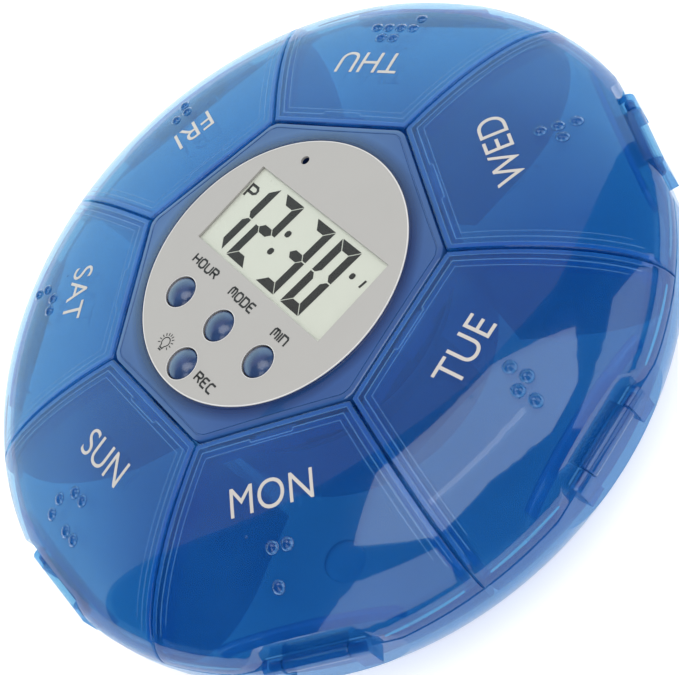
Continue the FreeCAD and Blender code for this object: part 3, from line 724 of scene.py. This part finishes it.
rimShape = {  # closed profiles: the dial's from the table up, a button hole's from the dial up
    "dial": [(27.3, 35.9), (27.3, 36.03), (27.38, 36.05), (27.5, 36.02), (27.55, 35.9)],
    "hole": [(3.3, -0.2), (3.3, 0.03), (3.37, 0.06), (3.46, -0.02)],
}
rings = [lathe(rimShape["dial"], (0, 0, 0), 192)]
rings += [lathe(rimShape["hole"], (*buttonAt[name], dialTop)) for name in buttonNames]
ringParts = []
for points, faces in rings:
    rows, steps = points.shape[:2]
    ringParts.append((points, sheetFaces(rows, steps, closeRows=True, closeColumns=True)))
build("dial_rims", [(trimWhite, ringParts)], "base")

buttonShape = {  # a round crown, its edge as (radius, height past the crown), then the flange
    "crownRadius": 4.5, "crownReach": 2.95, "crownSteps": 14,
    "edge": [(3.05, -0.12), (3.1, -0.3)],
    "flange": [(3.1, 33.1), (3.9, 33.1), (3.9, 32.45), (0, 32.45)],
}
for name in buttonNames:
    curve, crown = buttonShape["crownRadius"], top("button_" + name)
    turn = np.linspace(0, math.asin(buttonShape["crownReach"] / curve), buttonShape["crownSteps"])
    cap = [(curve * math.sin(step), crown - curve * (1 - math.cos(step))) for step in turn]
    side = cap[-1][1]
    cap += [(radius, side + height) for radius, height in buttonShape["edge"]]
    cap += buttonShape["flange"]
    build(
        f"button_{name}_cap", [(buttonBlue, [lathe(cap, (*buttonAt[name], 0), 72)])],
        "button_" + name, replaced=["button_" + name],
    )

glyphs = {  # pen paths of each label letter, in a box two high; a closed path ends where it starts
    "H": [[(0, 0), (0, 2)], [(1.7, 0), (1.7, 2)], [(0, 1), (1.7, 1)]],
    "O": [[
        (0.4, 0), (1.3, 0), (1.7, 0.4), (1.7, 1.6), (1.3, 2), (0.4, 2), (0, 1.6), (0, 0.4), (0.4, 0),
    ]],
    "U": [[(0, 2), (0, 0.4), (0.4, 0), (1.3, 0), (1.7, 0.4), (1.7, 2)]],
    "R": [
        [(0, 0), (0, 2), (1.35, 2), (1.7, 1.7), (1.7, 1.3), (1.35, 1), (0, 1)], [(0.9, 1), (1.7, 0)],
    ],
    "M": [[(0, 0), (0, 1.65), (0.3, 2), (1.4, 2), (1.7, 1.65), (1.7, 0)], [(0.85, 2), (0.85, 0.5)]],
    "D": [[(0, 0), (0, 2), (1.3, 2), (1.7, 1.6), (1.7, 0.4), (1.3, 0), (0, 0)]],
    "E": [[(1.6, 2), (0.3, 2), (0, 1.7), (0, 0.3), (0.3, 0), (1.6, 0)], [(0, 1), (1.3, 1)]],
    "I": [[(0, 0), (0, 2)]],
    "N": [[(0, 0), (0, 2), (1.35, 2), (1.7, 1.65), (1.7, 0)]],
    "C": [[(1.65, 2), (0.4, 2), (0, 1.6), (0, 0.4), (0.4, 0), (1.65, 0)]],
    "P": [[(0, 0), (0, 2), (1.3, 2), (1.7, 1.6), (1.7, 1.2), (1.3, 0.9), (0, 0.9)]],
}
pen = {"width": 0.38, "height": 1.72, "gap": 0.68, "thick": 0.03, "lift": 0.005}


def penWord(word, centre, height, level, width):
    # a word drawn with the pen, centred on a point
    scale = height / 2
    starts, reach = [], 0
    for letter in word:
        starts.append(reach)
        reach += max(x for path in glyphs[letter] for x, y in path) + pen["gap"]
    shift = np.array([(reach - pen["gap"]) / 2, 1])
    parts = []
    for letter, start in zip(word, starts):
        for path in glyphs[letter]:
            closed = path[0] == path[-1]
            points = (np.array(path[:-1] if closed else path) + [start, 0] - shift) * scale
            parts.append(stroke(points + centre, width, level, pen["thick"], closed))
    return parts


bulb = {  # round glass down to the neck, base bars as (half length, height, width), and rays
    "at": (-7.1, -22.5), "glass": 0.95, "glassEnds": (-60, 240), "neck": (0.42, -1.3), "pen": 0.2,
    "bars": [(0.5, -1.35, 0.26), (0.4, -1.75, 0.3)],
    "rays": [-30, -5, 20, 45, 68, 90, 112, 135, 160, 185, 210], "ray": (1.3, 1.85), "rayPen": 0.18,
}


def bulbIcon():
    # a lamp drawn in thin strokes
    turn = np.radians(np.linspace(*bulb["glassEnds"], 25))
    glass = bulb["glass"] * np.column_stack([np.cos(turn), np.sin(turn)])
    half, foot = bulb["neck"]
    paths = [(np.vstack([(half, foot), glass, (-half, foot)]), bulb["pen"])]
    paths += [([(-reach, height), (reach, height)], width) for reach, height, width in bulb["bars"]]
    for ray in np.radians(bulb["rays"]):
        way = np.array([math.cos(ray), math.sin(ray)])
        paths.append(([way * bulb["ray"][0], way * bulb["ray"][1]], bulb["rayPen"]))
    level = dialTop + pen["lift"]
    return [stroke(np.array(path) + bulb["at"], width, level, pen["thick"]) for path, width in paths]


labels = {"HOUR": (-13.0, -7.4), "MODE": (-0.1, -7.6), "MIN": (13.0, -8.0), "REC": (7.2, -22.85)}
labelParts = bulbIcon()
for words, centre in labels.items():
    labelParts += penWord(words, centre, pen["height"], dialTop + pen["lift"], pen["width"])
build("dial_print", [(ink, labelParts)], "base")
print("dial")


glassTop = top("lcd_glass")
digitShape = {
    "low": -3.2, "high": 12.5, "bar": 1.85, "gap": 0.13, "slant": 0.07, "uprightAt": 4.7,
    "lift": (0.01, 0.035),
}
segments = {"0": "abcdef", "1": "bc", "2": "abdeg", "3": "abcdg"}


def segment(points):
    # one mark of the display as a thin prism over its outline, leaning with the digits
    points = np.array(points, float)
    count = len(points)
    points[:, 0] += digitShape["slant"] * (points[:, 1] - digitShape["uprightAt"])
    levels = [np.full(count, glassTop + lift) for lift in digitShape["lift"]]
    near = np.arange(count)
    ahead = np.roll(near, -1)
    sides = np.stack([near, ahead, ahead + count, near + count], 1).tolist()
    ends = [near[::-1].tolist(), (near + count).tolist()]
    return np.vstack([np.column_stack([points, level]) for level in levels]), sides + ends


def digit(name, left, right):
    # seven bars: flat ones are trapezoids or hexagons, upright ones are cut to a nib at the middle
    low, high, bar, gap = (digitShape[key] for key in ("low", "high", "bar", "gap"))
    centre, half = (low + high) / 2, bar / 2
    near, far = left + bar + gap, right - bar - gap

    def upper(x, side):
        inner = x - side * bar
        return [
            (x, centre + gap), (x, high - gap), (inner, high - bar - gap),
            (inner, centre + half + gap), (x - side * half, centre + gap),
        ]

    def lower(x, side):
        inner = x - side * bar
        return [
            (x, low + gap), (x, centre - gap), (x - side * half, centre - gap),
            (inner, centre - half - gap), (inner, low + bar + gap),
        ]

    bars = {
        "a": [(left + gap, high), (right - gap, high), (far, high - bar), (near, high - bar)],
        "b": upper(right, 1), "c": lower(right, 1),
        "d": [(left + gap, low), (near, low + bar), (far, low + bar), (right - gap, low)],
        "e": lower(left, -1), "f": upper(left, -1),
        "g": [
            (left + half + gap, centre), (near, centre + half), (far, centre + half),
            (right - half - gap, centre), (far, centre - half), (near, centre - half),
        ],
    }
    return [segment(bars[key]) for key in segments[name]]


screenMarks = {  # digits as (name, left, right), spots as (across, up, size)
    "digits": [("1", -19.0, -13.2), ("2", -11.45, -5.5), ("3", -1.15, 4.75), ("0", 6.95, 12.85)],
    "spot": [(-1, -0.5), (-1, 0.5), (-0.5, 1), (0.5, 1), (1, 0.5), (1, -0.5), (0.5, -1), (-0.5, -1)],
    "spots": [(-3.65, 6.85, 0.68), (-3.65, 2.45, 0.68), (15.1, 8.3, 0.6)],
    "tick": [(17.85, 7.5), (18.0, 9.2), (18.5, 9.2), (18.35, 7.5)],
    "letter": {"word": "P", "centre": (-18.3, 8.6), "height": 2.7, "width": 0.55},
}
screen = []
for name, left, right in screenMarks["digits"]:
    screen += digit(name, left, right)
for x, y, size in screenMarks["spots"]:
    screen.append(segment(np.array(screenMarks["spot"]) * size + [x, y]))
screen.append(segment(screenMarks["tick"]))
screen += penWord(level=glassTop + digitShape["lift"][0], **screenMarks["letter"])
build("lcd_marks", [(segmentInk, screen)], "base")
print("display")


floorMaterial = satin(
    "floor_white", (0.90, 0.90, 0.90), 0.6, shade=0.02, grain=400, bump=0.01,
    **{"Emission Color": (1, 1, 1, 1), "Emission Strength": 0.45},
)
floorShape = {"reach": 3000, "steps": 9}
floorGrid = np.linspace(-floorShape["reach"], floorShape["reach"], floorShape["steps"])
across, along = np.meshgrid(floorGrid, floorGrid)
floorPoints = np.dstack([across, along, 0 * across])
floorMesh = bpy.data.meshes.new("floor")
floorFaces = sheetFaces(*across.shape).tolist()
floorMesh.from_pydata((floorPoints.reshape(-1, 3) * mm).tolist(), [], floorFaces)
floorMesh.materials.append(floorMaterial)
floorPiece = bpy.data.objects.new("floor", floorMesh)
bpy.context.scene.collection.objects.link(floorPiece)


def facingMatrix(side, up, back, spot):
    # a lamp or camera at spot that looks against back
    return Matrix(np.vstack([np.column_stack([side, up, back, spot]), [0, 0, 0, 1]]).tolist())


lamps = {  # soft and unseen in gloss: round and up in degrees, distance, width, height, watts
    "key": (40, 62, 0.9, 0.7, 0.7, 2.2),
    "fill": (190, 55, 1.0, 0.9, 0.7, 1.4),
}
for name, (around, above, distance, wide, tall, watts) in lamps.items():
    light = bpy.data.lights.new(name, "AREA")
    light.shape, light.size, light.size_y, light.energy = "RECTANGLE", wide, tall, watts
    lamp = bpy.data.objects.new(name, light)
    lamp.visible_glossy = False
    a, e = math.radians(around), math.radians(above)
    way = np.array([math.cos(e) * math.cos(a), math.cos(e) * math.sin(a), math.sin(e)])
    side = np.array([-math.sin(a), math.cos(a), 0])
    lamp.matrix_world = facingMatrix(side, np.cross(way, side), way, way * distance)
    bpy.context.scene.collection.objects.link(lamp)

panels = {  # soft boxes seen in the gloss: corners as (round, up) in degrees, 1 m away or as said
    "octagon": dict(
        corners=[(74, 62), (44, 55), (25, 56), (0, 68), (-30, 62), (-84, 70), (-150, 76), (130, 76)],
        glow=(1.9, 1.9, 1.9),
    ),
    "streak": dict(
        corners=[(-46, 78.2), (-40, 76.4), (42, 72.4), (47.5, 74.4)], glow=(3.4, 3.3, 3.4), away=0.8,
    ),
    "left": dict(
        corners=[(70, 12), (68, 46), (49, 47), (25, 43), (25, 8)], glow=(1.3, 1.32, 1.34),
    ),
    "right": dict(
        corners=[(-24, 10), (-24, 36), (-30, 56), (-62, 57), (-62, 14)], glow=(1.3, 1.32, 1.34),
    ),
    "wall": dict(
        corners=[
            (98, 1), (104, 64), (150, 77), (-163, 72), (-141, 62), (-112, 1), (-130, 1), (-155, 1),
            (180, 1), (150, 1), (122, 1),
        ],
        glow=(1.0, 1.35, 1.35), high=(0.36, 0.25, 0.30), fade=(0.30, 0.66),
    ),
}
for name, shape in panels.items():
    around, above = np.radians(np.array(shape["corners"], float)).T
    out = np.cos(above)
    ways = np.column_stack([out * np.cos(around), out * np.sin(around), np.sin(above)])
    ways = np.vstack([ways, ways.mean(0)]) * shape.get("away", 1)
    last = len(ways) - 1
    mesh = bpy.data.meshes.new("panel_" + name)
    mesh.from_pydata(ways.tolist(), [], [[last, step, (step + 1) % last] for step in range(last)])
    material, graph = newMaterial("panel_" + name)
    shade = colour(shape["glow"])
    if "high" in shape:
        place = graph.node("TexCoord", out=3)
        level = graph.node("SeparateXYZ", {}, {0: place}, out=2)
        rising = graph.node("MapRange", {}, {0: level, 1: shape["fade"][0], 2: shape["fade"][1]})
        shade = rising.blend(shape["glow"], shape["high"])
    mesh.materials.append(finishMaterial(material, graph.node("Emission", {}, {0: shade})))
    panel = bpy.data.objects.new("panel_" + name, mesh)
    bpy.context.scene.collection.objects.link(panel)
    panel.visible_camera = panel.visible_shadow = panel.visible_diffuse = False

world = bpy.data.worlds.new("studio")
world.use_nodes = True
world.node_tree.nodes["Background"].inputs[0].default_value = (1, 1, 1, 1)
world.node_tree.nodes["Background"].inputs[1].default_value = 1.0
world.cycles_visibility.glossy = False
bpy.context.scene.world = world
bpy.context.scene.view_settings.view_transform = "Standard"

camera = {  # degrees; aim is how far right, up and away the dial's middle is, in mm
    "around": -3.08, "above": 47.72, "roll": -44.957, "aim": (-12.281, 12.256, 307.47),
    "lens": 90.957, "middle": (0, 0, 36),
}
a, e, r = (math.radians(camera[key]) for key in ("around", "above", "roll"))
back = np.array([math.cos(e) * math.cos(a), math.cos(e) * math.sin(a), math.sin(e)])
right = np.array([-math.sin(a), math.cos(a), 0])
up = np.cross(back, right)
xWay = right * math.cos(r) + up * math.sin(r)
yWay = up * math.cos(r) - right * math.sin(r)
offX, offY, distance = camera["aim"]
spot = camera["middle"] - offX * xWay - offY * yWay + distance * back
viewer = bpy.data.objects.new("camera", bpy.data.cameras.new("camera"))
viewer.data.lens, viewer.data.sensor_width, viewer.data.clip_start = camera["lens"], 36, 0.01
viewer.matrix_world = facingMatrix(xWay, yWay, back, spot * mm)
bpy.context.scene.collection.objects.link(viewer)
bpy.context.scene.camera = viewer
print("stage")
